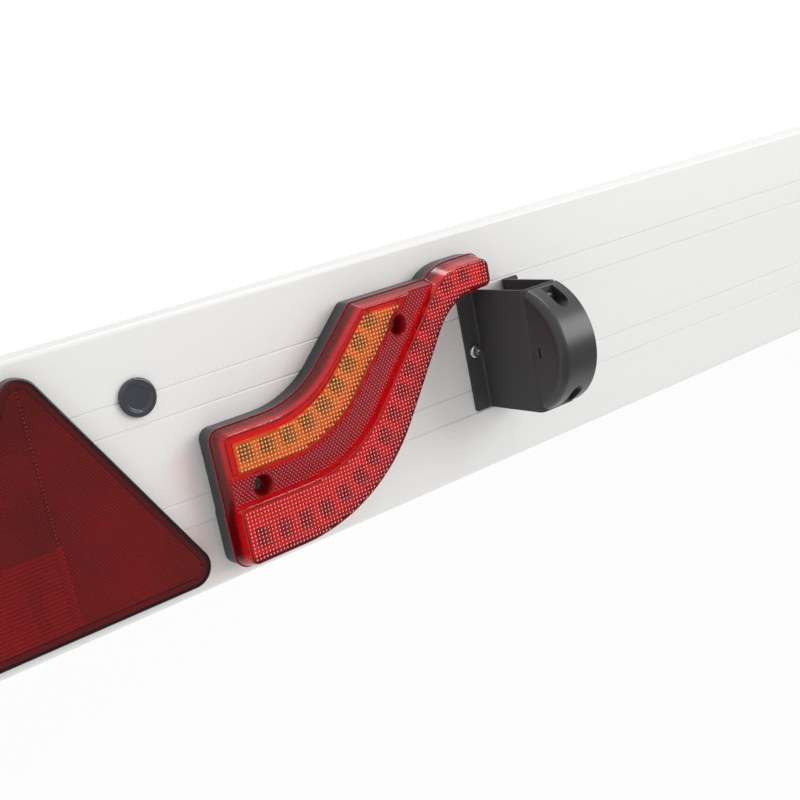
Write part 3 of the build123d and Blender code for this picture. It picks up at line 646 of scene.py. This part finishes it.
class LIGHTBOARD_OT_triangles(bpy.types.Operator):
    """Dress the triangular reflectors and lay their corner cubes and roof prisms"""
    bl_idname = "lightboard.triangles"
    bl_label = "Triangles"
    rim = 4.3 * MM  # plain border round the prisms
    depth = 2.45 * MM  # how far the prisms lie behind the front
    seam = 0.9 * MM  # from the middle seam to the first prisms beside it
    centre_share = 0.36  # share of the triangle's height at which its fields meet
    dot_radius, dot_height = 0.5 * MM, 0.3 * MM
    band_pitch = 1.2 * MM

    def execute(self, context):
        optics, seam = context.scene.lens_optics, self.seam
        cube, roof = cube_form(optics.cube_pitch), roof_form(optics.roof_pitch)
        dot = pillow_form(self.dot_radius, self.dot_height)
        close = (optics.cube_pitch, optics.cube_pitch * math.sqrt(0.75))
        square, band = (optics.roof_pitch,) * 2, (self.band_pitch,) * 2
        # The second finish is a lighter copy that paints a highlight on each cube's crown wall.
        backs = ("red_prism_backs", "bright_prism_backs")
        roofs, dots = ("roof_prism_backs",), ("seam_crown",)
        for side in SIDES:
            node = side + "_reflector_lens"
            low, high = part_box(node)
            # The side walls and the foot of the shell are painted dark, as painted shade. The back plate
            # shows red through its front.
            refinish(dressed(node, "red_lens", "triangle_acrylic"), "edge_acrylic",
                     lambda face: FLAT_AHEAD < face.normal.y < LOOKS_BACK or face.center.y > high.y - MM)
            refinish(dressed(side + "_reflector_base", "black_plastic", "moulded_abs"), "red_prism_backs",
                     lambda face: face.normal.y < FLAT_BACK)
            middle, centre = (low.x + high.x) / 2, low.z + (high.z - low.z) * self.centre_share
            # The cubes on the left are counted from the seam, so that they end at it.
            columns = math.ceil((middle - low.x) / optics.cube_pitch) + 0.5
            left = middle - seam - columns * optics.cube_pitch
            fields = (
                ("right_cubes", cube, close, 0.5, backs, (middle + seam, low.z, high.x, high.z)),
                ("upper_cubes", cube, close, 0.5, backs, (left, centre, middle - seam, high.z)),
                ("lower_roofs", roof, square, 0.0, roofs, (low.x, low.z, middle - seam * 3, centre)),
                ("seam_dots", dot, square, 0.0, dots, (middle, centre, middle, high.z)),
                ("seam_band", dot, band, 0.5, dots, (middle - seam * 2, low.z, middle + seam, centre)))
            for name, form, pitches, stagger, finish_names, area in fields:
                optics_field(side + "_triangle_" + name, node, low.y, form, pitches, stagger, self.rim,
                             finish_names, "red_lens", self.depth, area)
        for form in (cube, roof, dot):
            bpy.data.objects.remove(form)
        return {"FINISHED"}


class LIGHTBOARD_OT_plugs(bpy.types.Operator):
    """Dress the plugs over the fixing bolts"""
    bl_idname = "lightboard.plugs"
    bl_label = "Plugs"

    def execute(self, context):
        for side in SIDES:
            dressed(side + "_fixing_plug", "plug_plastic", "polished_polyethylene", bevel=0.2)
        return {"FINISHED"}


class LIGHTBOARD_OT_lamps(bpy.types.Operator):
    """Dress the lamps: base, lenses, tray, circuit board and emitters"""
    bl_idname = "lightboard.lamps"
    bl_label = "Lamps"
    well_reach = 6.2 * MM  # how far from a screw's axis its well reaches
    well_front = -0.5  # most Y in the normal of the front round a well
    head_radius = 4.0 * MM

    def wells(self, side):
        """Where the axes of a lamp's two screws stand along and up the board."""
        low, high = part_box(side + "_lamp_screws")
        ends = [low.x + self.head_radius, high.x - self.head_radius]
        near, away = ends if side == "left" else reversed(ends)
        return Vector((near, low.z + self.head_radius)), Vector((away, high.z - self.head_radius))

    def execute(self, context):
        for side in SIDES:
            dressed(side + "_lamp_base", "black_plastic", "moulded_abs", bevel=0.25)
            lens = dressed(side + "_lamp_lens", "red_lens", "red_acrylic", crease=50)
            refinish(lens, "red_grain", lambda face: face.normal.y > LOOKS_BACK)
            wells = self.wells(side)
            # The faces round the screw wells get a lighter, more opaque red as painted light.
            refinish(lens, "well_acrylic", lambda face: face.normal.y > self.well_front and any(
                (face.center.xz - well).length < self.well_reach for well in wells))
            refinish(dressed(side + "_indicator_lens", "amber_lens", "amber_acrylic"), "amber_grain",
                     lambda face: face.normal.y > LOOKS_BACK)
            dressed(side + "_lamp_reflector", "bright_tray", "metallised_tray")
            paint(side + "_led_board", "circuit_laminate")
            paint(side + "_indicator_leds", "emitter_resin")
            paint(side + "_tail_leds", "emitter_resin")
            paint(side + "_lamp_grommet", "soft_rubber")
        return {"FINISHED"}


class LIGHTBOARD_OT_lens_optics(bpy.types.Operator):
    """Lay the pillow optics and the reflex prisms on the lamp lenses"""
    bl_idname = "lightboard.lens_optics"
    bl_label = "Lens optics"
    step_down = 4.0 * MM  # how far the reflex strip lies behind the tail band

    def execute(self, context):
        optics = context.scene.lens_optics
        pillow = pillow_form(optics.pillow_radius, optics.pillow_height)
        lozenge = lozenge_form(optics.reflex_width, optics.reflex_height, optics.reflex_relief)
        square = (optics.pillow_pitch,) * 2
        close = (optics.reflex_width, optics.reflex_height / 2)
        for side in SIDES:
            lens, window = side + "_lamp_lens", side + "_indicator_lens"
            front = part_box(lens)[0].y
            optics_field(side + "_tail_pillows", lens, front, pillow, square, 0.0, optics.border,
                         ("red_dome", "red_crown"), "red_lens")
            optics_field(side + "_indicator_pillows", window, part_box(window)[0].y, pillow, square, 0.0,
                         optics.border, ("amber_dome", "amber_crown"), "amber_lens")
            optics_field(side + "_reflex_prisms", lens, front + self.step_down, lozenge, close, 0.5,
                         optics.border, ("red_prism_acrylic", "reflex_crown"), "red_lens")
        for form in (pillow, lozenge):
            bpy.data.objects.remove(form)
        return {"FINISHED"}


class LIGHTBOARD_OT_plate_lamps(bpy.types.Operator):
    """Dress the number plate lamps: bracket, hood, lens, board and emitters"""
    bl_idname = "lightboard.plate_lamps"
    bl_label = "Plate lamps"

    def execute(self, context):
        for side in SIDES:
            dressed(side + "_plate_lamp_bracket", "black_steel", "powder_coat", bevel=0.3)
            dressed(side + "_plate_lamp_hood", "hood_plastic", "hood_polyamide", bevel=0.25)
            dressed(side + "_plate_lamp_lens", "clear_lens", "window_acrylic")
            paint(side + "_plate_lamp_board", "circuit_laminate")
            paint(side + "_plate_lamp_leds", "emitter_resin")
        return {"FINISHED"}


class LIGHTBOARD_OT_screws(bpy.types.Operator):
    """Dress the screws of the lamps, brackets and hoods"""
    bl_idname = "lightboard.screws"
    bl_label = "Screws"

    def execute(self, context):
        for side in SIDES:
            dressed(side + "_bracket_screws", "zinc_steel", "bright_zinc", bevel=0.1)
            # The dark zinc is a blackened finish and also paints the shade on the screws deep in the lamp
            # wells and hood pockets.
            for group in ("lamp_screws", "plate_lamp_screws"):
                dressed(side + "_" + group, "black_screws", "black_zinc", bevel=0.1)
        return {"FINISHED"}


class LIGHTBOARD_OT_studio(bpy.types.Operator):
    """Set up the floor, the soft light, the white surround and the camera"""
    bl_idname = "lightboard.studio"
    bl_label = "Studio"
    floor_side = 12.0  # from the middle of the floor to its edges, in metres
    fade_start, fade_end = 0.7, 2.2  # distances from the origin between which the floor turns white
    fade_share = 0.88  # how white it is at the start
    light_aim = Vector((-0.4, -0.05, -0.03))  # where both lights point, at the left lamp
    key_offset, key_spread = Vector((2.04, -2.07, 0.72)), 32  # place from there, and spread in degrees
    top_offset, top_size = Vector((0.5, 0.1, 1.25)), (1.6, 0.22)
    card_ends, card_near, card_far, card_top = (-1.0, 1.8), -0.25, -1.1, -0.04  # along X, Y, Y and Z

    def execute(self, context):
        studio = context.scene.studio_setup
        self.lay_floor(studio)
        self.light_world(context.scene, studio)
        self.hang_lights(studio)
        self.stand_card(studio)
        self.stand_camera(context.scene, studio)
        context.scene.view_settings.view_transform = "Standard"
        return {"FINISHED"}

    def lay_floor(self, studio):
        """Lays a paper floor that shows a soft shadow near the board and turns white away from it."""
        side, level = self.floor_side, cad_box[0].z - studio.floor_drop
        mesh = bpy.data.meshes.new("floor")
        mesh.from_pydata([(-side, -side, level), (side, -side, level), (side, side, level),
                          (-side, side, level)], [], [(0, 1, 2, 3)])
        tree, shader = start_finish("studio_paper", studio.paper, 0.9)
        place = add_node(tree, "ShaderNodeTexCoord").outputs["Object"]
        away = add_node(tree, "ShaderNodeVectorMath", {0: place}, operation="LENGTH").outputs["Value"]
        fade = add_node(tree, "ShaderNodeMapRange",
                        {"Value": away, "From Min": self.fade_start, "From Max": self.fade_end,
                         "To Min": self.fade_share, "To Max": 1.0}, interpolation_type="SMOOTHSTEP")
        share = add_node(tree, "ShaderNodeMath", {0: seen_directly(tree), 1: fade.outputs["Result"]},
                         operation="MULTIPLY")
        glow = add_node(tree, "ShaderNodeEmission", {"Color": (1, 1, 1, 1), "Strength": 1.0})
        blend = add_node(tree, "ShaderNodeMixShader", {0: share.outputs[0], 1: shader.outputs["BSDF"],
                                                       2: glow.outputs["Emission"]})
        show_surface(tree, blend.outputs[0])
        mesh.materials.append(bpy.data.materials["studio_paper"])
        floor = bpy.data.objects.new("floor", mesh)
        bpy.context.collection.objects.link(floor)

    def light_world(self, scene, studio):
        """Sets an even light all round, which looks white wherever it is seen directly."""
        world = bpy.data.worlds.new("studio_surround")
        scene.world = world
        world.use_nodes = True
        tree = world.node_tree
        tree.nodes.clear()
        even = add_node(tree, "ShaderNodeBackground", {"Color": (1, 1, 1, 1), "Strength": studio.sky_level})
        white = add_node(tree, "ShaderNodeBackground", {"Color": (1, 1, 1, 1), "Strength": 1.0})
        blend = add_node(tree, "ShaderNodeMixShader", {0: seen_directly(tree), 1: even.outputs[0],
                                                       2: white.outputs[0]})
        add_node(tree, "ShaderNodeOutputWorld", {"Surface": blend.outputs[0]})

    def hang_lights(self, studio):
        """Hangs a broad key light in front of the board and a strip light above it."""
        key = bpy.data.lights.new("key_light", "SUN")
        key.energy = studio.key_level
        key.angle = math.radians(self.key_spread)
        top = bpy.data.lights.new("top_light", "AREA")
        top.shape = "RECTANGLE"
        top.size, top.size_y = self.top_size
        top.energy = studio.top_power
        for lamp, offset in ((key, self.key_offset), (top, self.top_offset)):
            holder = bpy.data.objects.new(lamp.name, lamp)
            holder.location = self.light_aim + offset
            holder.rotation_euler = (-offset).to_track_quat("-Z", "Y").to_euler()
            bpy.context.collection.objects.link(holder)

    def stand_card(self, studio):
        """Stands a grey card, bent at its foot, that is seen only in the lenses and other glossy faces."""
        (left, right), near, away, top = self.card_ends, self.card_near, self.card_far, self.card_top
        foot = cad_box[0].z - studio.floor_drop + MM
        mesh = bpy.data.meshes.new("grey_card")
        mesh.from_pydata([(left, near, foot), (right, near, foot), (right, away, foot), (left, away, foot),
                          (right, away, top), (left, away, top)], [], [(0, 1, 2, 3), (3, 2, 4, 5)])
        made = bpy.data.materials.new("grey_card")
        made.use_nodes = True
        made.node_tree.nodes.clear()
        glow = add_node(made.node_tree, "ShaderNodeEmission", {"Strength": studio.card_level})
        add_node(made.node_tree, "ShaderNodeOutputMaterial", {"Surface": glow.outputs["Emission"]})
        mesh.materials.append(made)
        card = bpy.data.objects.new("grey_card", mesh)
        card.visible_camera = card.visible_diffuse = card.visible_shadow = False
        bpy.context.collection.objects.link(card)

    def stand_camera(self, scene, studio):
        """Stands the camera at its place, turned by its forward and up directions."""
        back = -Vector(studio.camera_forward).normalized()
        right = Vector(studio.camera_up).cross(back).normalized()
        up = back.cross(right)
        camera = bpy.data.cameras.new("camera")
        camera.lens = studio.camera_lens
        camera.sensor_width = 36.0
        camera.clip_start = 0.01
        holder = bpy.data.objects.new("camera", camera)
        turn = Matrix((right, up, back)).transposed().to_4x4()
        holder.matrix_world = Matrix.Translation(studio.camera_place) @ turn
        bpy.context.collection.objects.link(holder)
        scene.camera = holder


class LIGHTBOARD_PT_panel(bpy.types.Panel):
    """Lists the steps that dress the lighting board"""
    bl_idname = "LIGHTBOARD_PT_panel"
    bl_label = "Lighting Board"
    bl_space_type = "VIEW_3D"
    bl_region_type = "UI"
    bl_category = "Lighting Board"

    def draw(self, context):
        for group in (context.scene.lens_optics, context.scene.part_finish, context.scene.studio_setup):
            box = self.layout.box()
            for name in group.__annotations__:
                box.prop(group, name)
        for step in STEPS:
            self.layout.operator(step.bl_idname)


STEPS = (LIGHTBOARD_OT_board, LIGHTBOARD_OT_triangles, LIGHTBOARD_OT_plugs, LIGHTBOARD_OT_lamps,
         LIGHTBOARD_OT_lens_optics, LIGHTBOARD_OT_plate_lamps, LIGHTBOARD_OT_screws, LIGHTBOARD_OT_studio)
GROUPS = {"lens_optics": LensOptics, "part_finish": PartFinish, "studio_setup": StudioSetup}


def register():
    for kind in (*GROUPS.values(), *STEPS, LIGHTBOARD_PT_panel):
        bpy.utils.register_class(kind)
    for name, group in GROUPS.items():
        setattr(bpy.types.Scene, name, PointerProperty(type=group))


def unregister():
    for name in GROUPS:
        delattr(bpy.types.Scene, name)
    for kind in reversed((*GROUPS.values(), *STEPS, LIGHTBOARD_PT_panel)):
        bpy.utils.unregister_class(kind)


def main():
    """Dresses the board step by step."""
    register()
    for step in STEPS:
        family, action = step.bl_idname.split(".")
        getattr(getattr(bpy.ops, family), action)()


if __name__ == "__main__":
    main()
